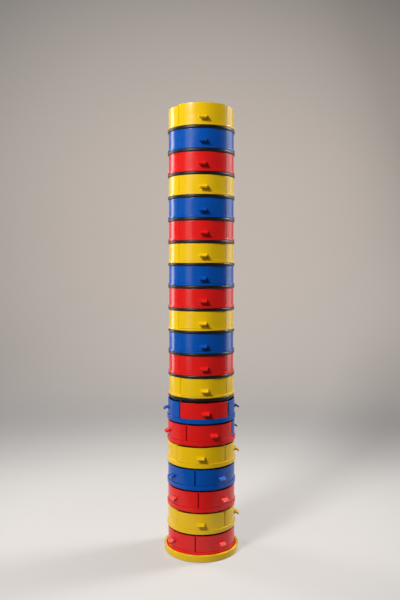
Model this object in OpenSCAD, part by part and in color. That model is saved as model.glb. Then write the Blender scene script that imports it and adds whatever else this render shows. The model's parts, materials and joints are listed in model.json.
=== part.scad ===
// Round drawer tower: twenty stacked tiers that turn on each other.
// Millimetres, +Z up, the middle of the base's underside at the origin, and
// the front of the tower towards -Y. Tiers are numbered from the top down.

/* [Stack] */
// Rise from one tier to the next
tier_pitch = 53.5; // [50:0.5:60]
// Height of the lowest tier's rim above the ground
stack_z = 11.8; // [10.5:0.1:13]
// How far a tier's spigot reaches down into the tier beneath
spigot_h = 4; // [3:0.5:5]
// Thickness of the spigot's wall
spigot_t = 2.6; // [2:0.1:4]
// Gap round a spigot, where one tier turns in the next
turn_gap = 0.3; // [0.2:0.05:0.5]
// Hairline gap between a tier and the one that rests on it
seat_gap = 0.05; // [0.02:0.01:0.2]
// Degrees that each tier is turned to the right of the front, top tier first
tier_turns = [2.5, 2, 1, 3, 1.5, 3.5, 2.5, 1.5, 2.5, 2, 3, 4, 5, 6.5, 19.5, -1, 34.5, 40, -1, 35];

/* [Round tiers] */
// Outside radius of the round tiers' walls and drawer fronts
round_r = 79.5; // [74:0.5:85]
// Thickness of the housing walls and of every drawer front
wall_t = 2.6; // [2:0.1:3.5]
// How far the foot ring and the lip stand out from the wall
ring_out = 2.25; // [1:0.25:4]
// Height of the black foot ring
ring_h = 7.5; // [6:0.25:9]
// Radial width of the foot ring
ring_w = 7.75; // [6.5:0.25:12]
// Hairline seam between a foot ring and the floor pressed onto it
ring_seam = 0.05; // [0.02:0.01:0.2]
// Height of the coloured lip on top of the foot ring
lip_h = 4.5; // [3:0.25:6]
// Degrees of the wall that the drawer front takes up
front_span = 90; // [80:1:96]
// Gap between a drawer's side and the end of the housing wall
tray_side_gap = 1.7; // [1:0.1:3]
// Gap between a drawer's side and its guide
guide_gap = 0.4; // [0.3:0.05:1]
// Height of the drawer guides above the floor
guide_h = 18; // [10:1:28]

/* [Quartered tiers] */
// How much further out than the round tiers the quartered fronts stand
quarter_out = 3.5; // [1.5:0.25:5]
// How far the rim stands out from the quartered fronts
rim_out = 2; // [1:0.2:4]
// Height of the rim
rim_h = 10.3; // [8.5:0.1:12]
// Open gap above the quartered fronts, under the next tier
shadow_gap = 5; // [2:0.1:6.5]
// Open gap above the fixed wall that closes the other quarters
wall_gap = 3.3; // [2:0.1:4]
// Half the gap between two quarter drawers' fronts
bay_seam_w = 1.35; // [0.8:0.05:1.8]
// Thickness of the crossed partitions
partition_t = 2.6; // [2:0.1:4]
// Radius of the round hub where the partitions cross
hub_r = 9; // [6:0.5:12]
// Gap between a partition and a drawer's side
bay_gap = 0.6; // [0.4:0.1:1.5]
// Width of the rail that guides a quarter drawer
rail_w = 5; // [3:0.5:8]
// Height of that rail
rail_h = 1.4; // [1:0.1:2]

/* [Drawers] */
// Thickness of the drawers' sides and backs
tray_t = 2; // [1.5:0.1:3]
// Thickness of the floors of drawers and tiers
floor_t = 2.4; // [1.8:0.1:3]
// Gap between a drawer front and the wall beside it
seam_w = 0.9; // [0.6:0.05:1.5]
// Gap under a drawer, and over and under its front
slide_gap = 0.4; // [0.3:0.05:0.8]
// Room between a drawer's rim and the spigot of the tier above
headroom = 6; // [3:0.5:12]

/* [Finger tabs] */
// Width of a finger tab
tab_w = 18; // [12:0.5:24]
// How far a tab reaches out from the drawer front
tab_reach = 12; // [9:0.2:16]
// Thickness of a tab
tab_t = 4; // [2.5:0.1:5]
// Degrees that a tab slopes down outwards
tab_slope = 34; // [15:1:40]
// Height of the tab's root above the bottom of its tier
tab_z = 26; // [22:0.5:31]

/* [Base] */
// Height of the base, to the top of its lip
base_h = 16.5; // [14:0.25:20]
// Gap between the lowest rim and the base's lip
base_gap = 1.4; // [0.8:0.1:3]
// Width of the base's lip
base_lip_w = 6.25; // [4.5:0.25:9]
// How far the base's outside tapers in at the ground
base_taper = 1.2; // [0.5:0.1:2]
// Number of ribs under the base
base_ribs = 8; // [4:2:12]

/* [Top] */
// How much higher the top tier's wall goes than the other tiers' walls
top_rise = 2.7; // [1:0.1:4]
// How far the top drawer's front stands up above that wall
top_step = 2.9; // [2:0.1:5]
// Radius of the low grip in the middle of the lid
lid_grip_r = 11; // [8:0.5:16]
// Width of the ledge that the lid rests on
ledge_w = 3.4; // [2.5:0.1:5]

/* [Hidden] */
$fn = 144;
yellow = [0.93, 0.72, 0.03];
blue = [0.01, 0.22, 0.58];
red = [0.80, 0.07, 0.06];
black = [0.05, 0.05, 0.05];
tiers = len(tier_turns);
// overlap of pieces that are joined, and of cuts past a face
bite = 0.4;
past = 1;
edge = 0.7;
wall_r = round_r - wall_t;
spigot_r = wall_r - turn_gap;
ring_r = round_r + ring_out;
floor_z = ring_h + lip_h;
tray_z = floor_z + slide_gap;
quarter_r = round_r + quarter_out;
rim_r = quarter_r + rim_out;
bay_r = quarter_r - wall_t;
front_half = front_span / 2;
tray_half_w = wall_r * sin(front_half) - tray_side_gap;
guide_x = tray_half_w + guide_gap;
guide_reach = sqrt(pow(wall_r, 2) - pow(guide_x + tray_t, 2)) + bite;
tray_back_y = guide_reach - tray_t - guide_gap;
wall_top_z = tier_pitch - seat_gap;
top_wall_z = wall_top_z + top_rise;
seat_z = wall_top_z - spigot_h;
tray_top_z = seat_z - headroom;
ledge_t = 1.6;
lid_z = tray_top_z + slide_gap + ledge_t;
lid_grip_z = tier_pitch - slide_gap;
runner_t = 2;
runner_z = rim_h + slide_gap;
bay_floor_z = runner_z + rail_h;
hub_gap = 4;
bay_start = hub_r + hub_gap;
rail_end = bay_r - 2;
base_inner_r = rim_r + base_gap;
base_r = base_inner_r + base_lip_w;
base_seat_z = stack_z - spigot_h - seat_gap;
base_floor_z = stack_z - turn_gap;
base_skin = 2.6;

function tier_z(n) = stack_z + (tiers - n) * tier_pitch;
function front_top_z(top) = top ? top_wall_z + top_step : tier_pitch - slide_gap;
// half the angle of a front of radius r that leaves a seam at each side
function seam_half(half, r, seam) = half - asin(seam / r);

module on_tier(n) {
  translate([0, 0, tier_z(n)])
    rotate([0, 0, tier_turns[n - 1]])
      children();
}

module in_bay(angle) {
  rotate([0, 0, angle])
    children();
}

module band(z0, z1) {
  translate([0, 0, z0])
    linear_extrude(z1 - z0)
      children();
}

module annulus(r_in, r_out) {
  difference() {
    circle(r_out);
    circle(r_in);
  }
}

// a wedge from the axis towards -Y, out past radius r
module wedge(half, r) {
  reach = 1.6 * r;
  polygon([
    [0, 0],
    [-reach * sin(half), -reach * cos(half)],
    [reach * sin(half), -reach * cos(half)]
  ]);
}

// the quarter bay towards -Y, with both straight sides moved in by inset
module bay_wedge(inset, start) {
  reach = 2 * quarter_r;
  tip = inset * sqrt(2);
  intersection() {
    polygon([
      [0, -tip],
      [-reach, -tip - reach],
      [reach, -tip - reach]
    ]);
    translate([-reach, -start - reach])
      square([2 * reach, reach]);
  }
}

// a curved front with its finger tab
module front_panel(r, half, seam, z0, z1) {
  band(z0, z1)
    intersection() {
      annulus(r - wall_t, r);
      wedge(seam_half(half, r, seam), r);
    }
  finger_tab(r);
}

// a plate that rises a little at its root, then slopes down outwards
module finger_tab(r) {
  rise = 3.2;
  drop = (tab_reach - rise) * tan(tab_slope);
  sink = wall_t - bite;
  down = [-sin(tab_slope), -cos(tab_slope)];
  tip = [tab_reach, tab_t - drop];
  translate([0, -r, tab_z])
    rotate([90, 0, -90])
      linear_extrude(tab_w, center = true)
        polygon([
          [-sink, tab_t / 4],
          [0, tab_t / 4],
          [rise, tab_t],
          tip + edge * [-cos(tab_slope), sin(tab_slope)],
          tip + edge * down,
          tip + tab_t * down,
          [rise, tab_t - tab_t / cos(tab_slope)],
          [0, -tab_t],
          [-sink, -tab_t]
        ]);
}

// ---- Round tiers ----

module foot_ring() {
  rotate_extrude()
    polygon([
      [ring_r - ring_w, 0],
      [spigot_r - spigot_t, 0],
      [spigot_r - spigot_t, -spigot_h],
      [spigot_r - edge, -spigot_h],
      [spigot_r, edge - spigot_h],
      [spigot_r, 0],
      [ring_r - edge, 0],
      [ring_r, edge],
      [ring_r, ring_h - ring_seam - edge / 2],
      [ring_r - edge / 2, ring_h - ring_seam],
      [ring_r - ring_w, ring_h - ring_seam]
    ]);
}

module housing_floor() {
  rotate_extrude()
    polygon([
      [0, floor_z - floor_t],
      [ring_r - ring_w, floor_z - floor_t],
      [ring_r - ring_w, ring_h],
      [ring_r - edge / 2, ring_h],
      [ring_r, ring_h + edge / 2],
      [ring_r, floor_z - edge],
      [ring_r - edge, floor_z],
      [0, floor_z]
    ]);
}

module housing_wall(r_in, r_out, z0, z1) {
  band(z0, z1)
    difference() {
      annulus(r_in, r_out);
      wedge(front_half, r_out);
    }
}

module drawer_guides() {
  for (side = [-1, 1])
    translate([side * (guide_x + tray_t / 2) - tray_t / 2, -guide_reach, floor_z - bite])
      cube([tray_t, 2 * guide_reach, guide_h + bite]);
  translate([-guide_x - bite, guide_reach - tray_t, floor_z - bite])
    cube([2 * (guide_x + bite), tray_t, guide_h + bite]);
}

module round_housing() {
  housing_floor();
  housing_wall(wall_r, round_r, floor_z - bite, wall_top_z);
  drawer_guides();
}

module top_housing() {
  round_housing();
  housing_wall(wall_r, round_r, wall_top_z - bite, top_wall_z);
  housing_wall(wall_r - ledge_w, wall_r + bite, lid_z - ledge_t, lid_z);
}

module tray_plan(inset) {
  side = tray_half_w - inset;
  back = tray_back_y - inset;
  intersection() {
    translate([-side, -round_r])
      square([2 * side, round_r + back]);
    circle(wall_r + (inset > 0 ? 0 : bite));
  }
}

module round_drawer(top_z) {
  difference() {
    band(tray_z, tray_top_z)
      tray_plan(0);
    band(tray_z + floor_t, tray_top_z + past)
      tray_plan(tray_t);
  }
  front_panel(round_r, front_half, seam_w, tray_z, top_z);
}

// ---- Quartered tiers ----

module rimmed_floor() {
  rotate_extrude()
    polygon([
      [0, rim_h - floor_t],
      [spigot_r - spigot_t, rim_h - floor_t],
      [spigot_r - spigot_t, -spigot_h],
      [spigot_r - edge, -spigot_h],
      [spigot_r, edge - spigot_h],
      [spigot_r, rim_h - floor_t],
      [rim_r - wall_t, rim_h - floor_t],
      [rim_r - wall_t, 0],
      [rim_r - edge, 0],
      [rim_r, edge],
      [rim_r, rim_h - edge],
      [rim_r - edge, rim_h],
      [0, rim_h]
    ]);
}

module crossed_partitions() {
  horn_r = bay_r - turn_gap;
  z0 = rim_h - bite;
  for (turn = [45, 135])
    rotate([0, 0, turn])
      difference() {
        translate([-horn_r, -partition_t / 2, z0])
          cube([2 * horn_r, partition_t, tier_pitch - turn_gap - z0]);
        translate([0, 0, seat_z])
          cylinder(r = wall_r, h = tier_pitch);
      }
  translate([0, 0, z0])
    cylinder(r = hub_r, h = seat_z - z0);
}

// the fixed wall over `bays` closed quarters, from the one at `first` on round
module closed_wall(first, bays) {
  rotate([0, 0, first - 45 + 90 * (bays - 1)])
    band(rim_h - bite, tier_pitch - wall_gap)
      difference() {
        annulus(bay_r - turn_gap - bite, quarter_r);
        open_side(bays);
      }
}

// the half or three quarters of the circle that a closed wall leaves open,
// up to a sliding gap from the drawer fronts beside it
module open_side(bays) {
  reach = 2 * quarter_r;
  inset = seam_w - slide_gap;
  translate([-reach, inset])
    square([2 * reach, reach]);
  if (bays == 1)
    translate([-reach - inset, -reach])
      square([reach, 2 * reach]);
}

module quarter_carcass(first, bays) {
  rimmed_floor();
  crossed_partitions();
  for (bay = [0 : 3])
    in_bay(90 * bay)
      translate([-rail_w / 2, -rail_end, rim_h - bite])
        cube([rail_w, rail_end - bay_start, rail_h + bite]);
  if (bays > 0)
    closed_wall(first, bays);
}

module quarter_drawer() {
  inset = partition_t / 2 + bay_gap;
  difference() {
    band(bay_floor_z, tray_top_z)
      intersection() {
        bay_wedge(inset, bay_start);
        circle(bay_r + bite);
      }
    band(bay_floor_z + floor_t, tray_top_z + past)
      intersection() {
        bay_wedge(inset + tray_t, bay_start + tray_t);
        circle(bay_r);
      }
  }
  for (side = [-1, 1])
    translate([
      side * (rail_w / 2 + guide_gap + runner_t / 2) - runner_t / 2,
      -rail_end,
      runner_z
    ])
      cube([runner_t, rail_end - bay_start - tray_t, rail_h + bite]);
  front_panel(quarter_r, 45, bay_seam_w, runner_z, tier_pitch - shadow_gap);
}

// ---- Base and lid ----

module base_dish() {
  rotate_extrude()
    polygon([
      [0, base_seat_z - base_skin],
      [wall_r - edge, base_seat_z - base_skin],
      [wall_r + base_skin, base_floor_z - base_skin],
      [base_r - base_skin, base_floor_z - base_skin],
      [base_r - base_skin - base_taper, 0],
      [base_r - base_taper, 0],
      [base_r, 2 * base_taper],
      [base_r, base_h - 2 * edge],
      [base_r - 2 * edge, base_h],
      [base_inner_r + edge, base_h],
      [base_inner_r, base_h - edge],
      [base_inner_r, base_floor_z],
      [wall_r, base_floor_z],
      [wall_r, base_seat_z],
      [0, base_seat_z]
    ]);
  cylinder(r = hub_r, h = base_seat_z - base_skin + bite);
  for (rib = [0 : base_ribs - 1])
    rotate([0, 0, rib * 360 / base_ribs])
      translate([0, -base_skin / 2, 0])
        cube([base_r - base_skin, base_skin, base_seat_z - base_skin + bite]);
}

module lid_disc() {
  translate([0, 0, lid_z])
    cylinder(r = spigot_r, h = floor_t);
  translate([0, 0, lid_z])
    cylinder(r = lid_grip_r, h = lid_grip_z - lid_z);
}

// ---- The named pieces, each in its place in the stack ----

module base() {
  color(yellow)
    base_dish();
}

module top_lid() {
  on_tier(1)
    color(yellow)
      lid_disc();
}

module tier_01_housing() {
  on_tier(1) {
    color(yellow)
      top_housing();
    color(black)
      foot_ring();
  }
}

module tier_01_drawer() {
  on_tier(1)
    color(yellow)
      round_drawer(front_top_z(true));
}

module tier_02_housing() {
  on_tier(2) {
    color(blue)
      round_housing();
    color(black)
      foot_ring();
  }
}

module tier_02_drawer() {
  on_tier(2)
    color(blue)
      round_drawer(front_top_z(false));
}

module tier_03_housing() {
  on_tier(3) {
    color(red)
      round_housing();
    color(black)
      foot_ring();
  }
}

module tier_03_drawer() {
  on_tier(3)
    color(red)
      round_drawer(front_top_z(false));
}

module tier_04_housing() {
  on_tier(4) {
    color(yellow)
      round_housing();
    color(black)
      foot_ring();
  }
}

module tier_04_drawer() {
  on_tier(4)
    color(yellow)
      round_drawer(front_top_z(false));
}

module tier_05_housing() {
  on_tier(5) {
    color(blue)
      round_housing();
    color(black)
      foot_ring();
  }
}

module tier_05_drawer() {
  on_tier(5)
    color(blue)
      round_drawer(front_top_z(false));
}

module tier_06_housing() {
  on_tier(6) {
    color(red)
      round_housing();
    color(black)
      foot_ring();
  }
}

module tier_06_drawer() {
  on_tier(6)
    color(red)
      round_drawer(front_top_z(false));
}

module tier_07_housing() {
  on_tier(7) {
    color(yellow)
      round_housing();
    color(black)
      foot_ring();
  }
}

module tier_07_drawer() {
  on_tier(7)
    color(yellow)
      round_drawer(front_top_z(false));
}

module tier_08_housing() {
  on_tier(8) {
    color(blue)
      round_housing();
    color(black)
      foot_ring();
  }
}

module tier_08_drawer() {
  on_tier(8)
    color(blue)
      round_drawer(front_top_z(false));
}

module tier_09_housing() {
  on_tier(9) {
    color(red)
      round_housing();
    color(black)
      foot_ring();
  }
}

module tier_09_drawer() {
  on_tier(9)
    color(red)
      round_drawer(front_top_z(false));
}

module tier_10_housing() {
  on_tier(10) {
    color(yellow)
      round_housing();
    color(black)
      foot_ring();
  }
}

module tier_10_drawer() {
  on_tier(10)
    color(yellow)
      round_drawer(front_top_z(false));
}

module tier_11_housing() {
  on_tier(11) {
    color(blue)
      round_housing();
    color(black)
      foot_ring();
  }
}

module tier_11_drawer() {
  on_tier(11)
    color(blue)
      round_drawer(front_top_z(false));
}

module tier_12_housing() {
  on_tier(12) {
    color(red)
      round_housing();
    color(black)
      foot_ring();
  }
}

module tier_12_drawer() {
  on_tier(12)
    color(red)
      round_drawer(front_top_z(false));
}

module tier_13_housing() {
  on_tier(13) {
    color(yellow)
      round_housing();
    color(black)
      foot_ring();
  }
}

module tier_13_drawer() {
  on_tier(13)
    color(yellow)
      round_drawer(front_top_z(false));
}

module tier_14_carcass() {
  on_tier(14)
    color(blue)
      quarter_carcass(0, 0);
}

module tier_14_front_drawer() {
  on_tier(14)
    in_bay(0)
      color(red)
        quarter_drawer();
}

module tier_14_left_drawer() {
  on_tier(14)
    in_bay(-90)
      color(blue)
        quarter_drawer();
}

module tier_14_right_drawer() {
  on_tier(14)
    in_bay(90)
      color(blue)
        quarter_drawer();
}

module tier_14_back_drawer() {
  on_tier(14)
    in_bay(180)
      color(blue)
        quarter_drawer();
}

module tier_15_carcass() {
  on_tier(15)
    color(red)
      quarter_carcass(0, 0);
}

module tier_15_front_drawer() {
  on_tier(15)
    in_bay(0)
      color(red)
        quarter_drawer();
}

module tier_15_left_drawer() {
  on_tier(15)
    in_bay(-90)
      color(red)
        quarter_drawer();
}

module tier_15_right_drawer() {
  on_tier(15)
    in_bay(90)
      color(blue)
        quarter_drawer();
}

module tier_15_back_drawer() {
  on_tier(15)
    in_bay(180)
      color(red)
        quarter_drawer();
}

module tier_16_carcass() {
  on_tier(16)
    color(yellow)
      quarter_carcass(180, 2);
}

module tier_16_front_drawer() {
  on_tier(16)
    in_bay(0)
      color(yellow)
        quarter_drawer();
}

module tier_16_right_drawer() {
  on_tier(16)
    in_bay(90)
      color(yellow)
        quarter_drawer();
}

module tier_17_carcass() {
  on_tier(17)
    color(blue)
      quarter_carcass(90, 2);
}

module tier_17_front_drawer() {
  on_tier(17)
    in_bay(0)
      color(blue)
        quarter_drawer();
}

module tier_17_left_drawer() {
  on_tier(17)
    in_bay(-90)
      color(blue)
        quarter_drawer();
}

module tier_18_carcass() {
  on_tier(18)
    color(red)
      quarter_carcass(90, 2);
}

module tier_18_front_drawer() {
  on_tier(18)
    in_bay(0)
      color(red)
        quarter_drawer();
}

module tier_18_left_drawer() {
  on_tier(18)
    in_bay(-90)
      color(red)
        quarter_drawer();
}

module tier_19_carcass() {
  on_tier(19)
    color(yellow)
      quarter_carcass(180, 2);
}

module tier_19_front_drawer() {
  on_tier(19)
    in_bay(0)
      color(yellow)
        quarter_drawer();
}

module tier_19_right_drawer() {
  on_tier(19)
    in_bay(90)
      color(yellow)
        quarter_drawer();
}

module tier_20_carcass() {
  on_tier(20)
    color(red)
      quarter_carcass(180, 1);
}

module tier_20_front_drawer() {
  on_tier(20)
    in_bay(0)
      color(red)
        quarter_drawer();
}

module tier_20_left_drawer() {
  on_tier(20)
    in_bay(-90)
      color(red)
        quarter_drawer();
}

module tier_20_right_drawer() {
  on_tier(20)
    in_bay(90)
      color(blue)
        quarter_drawer();
}

base();
top_lid();
tier_01_housing();
tier_01_drawer();
tier_02_housing();
tier_02_drawer();
tier_03_housing();
tier_03_drawer();
tier_04_housing();
tier_04_drawer();
tier_05_housing();
tier_05_drawer();
tier_06_housing();
tier_06_drawer();
tier_07_housing();
tier_07_drawer();
tier_08_housing();
tier_08_drawer();
tier_09_housing();
tier_09_drawer();
tier_10_housing();
tier_10_drawer();
tier_11_housing();
tier_11_drawer();
tier_12_housing();
tier_12_drawer();
tier_13_housing();
tier_13_drawer();
tier_14_carcass();
tier_14_front_drawer();
tier_14_left_drawer();
tier_14_right_drawer();
tier_14_back_drawer();
tier_15_carcass();
tier_15_front_drawer();
tier_15_left_drawer();
tier_15_right_drawer();
tier_15_back_drawer();
tier_16_carcass();
tier_16_front_drawer();
tier_16_right_drawer();
tier_17_carcass();
tier_17_front_drawer();
tier_17_left_drawer();
tier_18_carcass();
tier_18_front_drawer();
tier_18_left_drawer();
tier_19_carcass();
tier_19_front_drawer();
tier_19_right_drawer();
tier_20_carcass();
tier_20_front_drawer();
tier_20_left_drawer();
tier_20_right_drawer();
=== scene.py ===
"""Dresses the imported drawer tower: twenty round tiers of glossy moulded plastic that turn on each other.

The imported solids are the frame. The mouldings take the tower's own driving sizes, and their places and turns
from the frame's joints, so each of them lands where its solid is.
"""

import json
import logging
import math
from dataclasses import dataclass
from enum import Enum
from typing import Iterable, Sequence

import bmesh
import bpy
from mathutils import Matrix, Vector

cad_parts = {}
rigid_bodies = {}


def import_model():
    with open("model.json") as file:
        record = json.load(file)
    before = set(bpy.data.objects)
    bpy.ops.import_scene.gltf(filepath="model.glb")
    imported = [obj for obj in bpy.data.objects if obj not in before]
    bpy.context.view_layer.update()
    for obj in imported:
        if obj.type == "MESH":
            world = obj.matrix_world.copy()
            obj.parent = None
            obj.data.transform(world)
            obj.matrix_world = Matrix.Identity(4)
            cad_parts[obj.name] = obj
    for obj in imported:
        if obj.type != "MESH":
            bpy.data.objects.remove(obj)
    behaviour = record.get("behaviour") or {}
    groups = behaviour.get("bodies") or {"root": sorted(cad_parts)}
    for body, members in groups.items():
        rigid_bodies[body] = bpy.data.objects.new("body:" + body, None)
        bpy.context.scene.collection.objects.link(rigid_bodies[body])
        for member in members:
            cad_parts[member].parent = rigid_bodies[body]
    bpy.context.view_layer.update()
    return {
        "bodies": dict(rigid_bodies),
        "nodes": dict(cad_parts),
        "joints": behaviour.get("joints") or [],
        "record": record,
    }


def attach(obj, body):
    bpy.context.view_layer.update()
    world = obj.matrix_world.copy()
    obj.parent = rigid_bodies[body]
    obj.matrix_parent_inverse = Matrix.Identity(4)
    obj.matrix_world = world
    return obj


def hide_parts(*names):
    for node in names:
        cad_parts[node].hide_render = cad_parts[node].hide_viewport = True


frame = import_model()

LOG = logging.getLogger("drawer_tower")
MM = 0.001
QUARTER = math.pi / 2
FULL_TURN = 2 * math.pi

# The tiers of either kind, counted from the top down.
ROUND_TIERS = range(1, 14)
QUARTER_TIERS = range(14, 21)

# The quarters of a divided tier, counted from the front one towards the right.
BAYS = range(4)

# How finely the curves are cut.
TURN_STEPS = 144
HUB_STEPS = 48
DISC_SEGMENTS = 288
WALL_FACET = math.radians(2.5)
FEWEST_FACETS = 8

# The least angles of an edge to round and of an edge to shade sharp.
ROUNDED_OVER = math.radians(30)
SHARP_OVER = math.radians(40)

# What counts as parallel, as the same length and as one point.
PARALLEL = 0.999
SAME_LENGTH = 0.01 * MM
ONE_POINT = 0.001 * MM

Point2 = tuple[float, float]
Point3 = tuple[float, float, float]
Colour = tuple[float, float, float]
Socket = bpy.types.NodeSocket


# ---------------------------------------------------------------- sizes


@dataclass(frozen=True)
class TowerSizes:
    """The tower's driving sizes, in metres."""

    # Every tier: its rise, its skins and clearances, and the spigot that turns in the tier beneath.
    tier_pitch: float = 53.5 * MM
    wall_t: float = 2.6 * MM
    floor_t: float = 2.4 * MM
    slide_gap: float = 0.4 * MM
    seat_gap: float = 0.05 * MM
    turn_gap: float = 0.3 * MM
    spigot_h: float = 4.0 * MM
    spigot_t: float = 2.6 * MM

    # The round tiers: wall, foot ring, lip and drawer guides.
    round_r: float = 79.5 * MM
    ring_out: float = 2.25 * MM
    ring_h: float = 7.5 * MM
    ring_w: float = 7.75 * MM
    ring_seam: float = 0.05 * MM
    lip_h: float = 4.5 * MM
    guide_gap: float = 0.4 * MM
    guide_h: float = 18.0 * MM

    # The top tier, whose wall and front stand higher, and its lid.
    top_rise: float = 2.7 * MM
    top_step: float = 2.9 * MM
    lid_grip_r: float = 11.0 * MM
    ledge_w: float = 3.4 * MM
    ledge_t: float = 1.6 * MM

    # The quartered tiers: fronts, rim, partitions, hub, rails and the fixed wall's upper gap.
    quarter_out: float = 3.5 * MM
    rim_out: float = 2.0 * MM
    rim_h: float = 10.3 * MM
    shadow_gap: float = 5.0 * MM
    wall_gap: float = 3.3 * MM
    bay_seam_w: float = 1.35 * MM
    partition_t: float = 2.6 * MM
    hub_r: float = 9.0 * MM
    hub_gap: float = 4.0 * MM
    bay_gap: float = 0.6 * MM
    rail_w: float = 5.0 * MM
    rail_h: float = 1.4 * MM
    rail_short: float = 2.0 * MM

    # The drawers: trays, runners and the seam beside a round tier's front.
    tray_t: float = 2.0 * MM
    tray_side_gap: float = 1.7 * MM
    headroom: float = 6.0 * MM
    runner_t: float = 2.0 * MM
    seam_w: float = 0.9 * MM

    # The finger tabs.
    tab_w: float = 18.0 * MM
    tab_reach: float = 12.0 * MM
    tab_t: float = 4.0 * MM
    tab_rise: float = 3.2 * MM
    tab_slope: float = math.radians(34)
    tab_z: float = 26.0 * MM

    # The base.
    base_h: float = 16.5 * MM
    base_gap: float = 1.4 * MM
    base_lip_w: float = 6.25 * MM
    base_taper: float = 1.2 * MM
    base_skin: float = 2.6 * MM
    base_ribs: int = 8

    # How far joined shells sink into each other.
    bite: float = 0.4 * MM

    # The looks alone: how far a partition's outer edge stands back, which makes the seams read dark, and how
    # far its foot and its upright end reach into it.
    edge_relief: float = 4.0 * MM
    foot_lap: float = 1.0 * MM
    horn_lap: float = 2.0 * MM

    @property
    def wall_r(self) -> float:
        """Inside radius of the round tiers' walls."""
        return self.round_r - self.wall_t

    @property
    def spigot_r(self) -> float:
        """Outside radius of every spigot."""
        return self.wall_r - self.turn_gap

    @property
    def ring_r(self) -> float:
        """Outside radius of a foot ring."""
        return self.round_r + self.ring_out

    @property
    def floor_z(self) -> float:
        """Height of a round tier's floor above the tier's bottom."""
        return self.ring_h + self.lip_h

    @property
    def tray_z(self) -> float:
        """Height of a round drawer's underside above its tier's bottom."""
        return self.floor_z + self.slide_gap

    @property
    def wall_top_z(self) -> float:
        """Height of a housing wall's top above its tier's bottom."""
        return self.tier_pitch - self.seat_gap

    @property
    def top_wall_z(self) -> float:
        """Height of the top tier's wall above its bottom."""
        return self.wall_top_z + self.top_rise

    @property
    def seat_z(self) -> float:
        """Height of the seat for the next tier's spigot above the tier's bottom."""
        return self.wall_top_z - self.spigot_h

    @property
    def tray_top_z(self) -> float:
        """Height of every drawer's rim above its tier's bottom."""
        return self.seat_z - self.headroom

    @property
    def tray_half_w(self) -> float:
        """Half the width of a round tier's tray."""
        return self.wall_r * math.sin(QUARTER / 2) - self.tray_side_gap

    @property
    def guide_x(self) -> float:
        """Distance of a drawer guide's inner face from the middle."""
        return self.tray_half_w + self.guide_gap

    @property
    def guide_reach(self) -> float:
        """How far the guides run to the front and to the back."""
        return math.sqrt(self.wall_r**2 - (self.guide_x + self.tray_t) ** 2) + self.bite

    @property
    def tray_back_y(self) -> float:
        """Distance of a round tier's tray's back from the middle."""
        return self.guide_reach - self.tray_t - self.guide_gap

    @property
    def quarter_r(self) -> float:
        """Outside radius of the quartered tiers' fronts."""
        return self.round_r + self.quarter_out

    @property
    def rim_r(self) -> float:
        """Outside radius of the quartered tiers' rims."""
        return self.quarter_r + self.rim_out

    @property
    def bay_r(self) -> float:
        """Inside radius of the quartered tiers' fronts."""
        return self.quarter_r - self.wall_t

    @property
    def runner_z(self) -> float:
        """Height of a quarter drawer's runners above its tier's bottom."""
        return self.rim_h + self.slide_gap

    @property
    def bay_floor_z(self) -> float:
        """Height of a quarter drawer's underside above its tier's bottom."""
        return self.runner_z + self.rail_h

    @property
    def bay_start(self) -> float:
        """Distance of a quarter drawer's inner end from the axis."""
        return self.hub_r + self.hub_gap

    @property
    def rail_end(self) -> float:
        """Distance of a floor rail's outer end from the axis."""
        return self.bay_r - self.rail_short

    @property
    def base_inner_r(self) -> float:
        """Inside radius of the base's lip."""
        return self.rim_r + self.base_gap

    @property
    def base_r(self) -> float:
        """Outside radius of the base."""
        return self.base_inner_r + self.base_lip_w

    @property
    def lid_z(self) -> float:
        """Height of the lid's underside above the top tier's bottom."""
        return self.tray_top_z + self.slide_gap + self.ledge_t


SIZES = TowerSizes()


# ---------------------------------------------------------------- what the frame says


class Frame:
    """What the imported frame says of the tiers: heights, turns and finishes.

    Attributes:
        joints: The joints by name.
        slots: The finish of each node by name.
    """

    def __init__(self, packed: dict) -> None:
        """Keeps the joints and finishes by name.
        """
        self.joints = {joint["name"]: joint for joint in packed["joints"]}
        parts = packed["record"]["subparts"]
        self.slots = {part["node"]: part["material_slot"] for part in parts}

    def tier_z(self, tier: int) -> float:
        """Height of a tier's bottom above the ground."""
        return self.joints[f"tier_{tier:02d}_turn"]["pos_m"][2]

    def drawers(self, tier: int) -> list[str]:
        """The names of a tier's drawers, in the record's order."""
        start = f"tier_{tier:02d}_"
        return [node for node in self.slots if node.startswith(start) and node.endswith("drawer")]

    def drawer_turn(self, drawer: str) -> float:
        """Angle of a drawer's way out, from the front towards the right, in radians."""
        axis = self.joints[f"{drawer}_slide"]["axis"]
        return math.atan2(axis[0], -axis[1])


# ---------------------------------------------------------------- finishes


class Slot(Enum):
    """The record's material slots."""

    YELLOW = "yellow_plastic"
    BLUE = "blue_plastic"
    RED = "red_plastic"


@dataclass(frozen=True)
class Grain:
    """How fine a noise is.

    Attributes:
        scale: Cells to the metre.
        detail: Octaves.
    """

    scale: float
    detail: float


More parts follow.
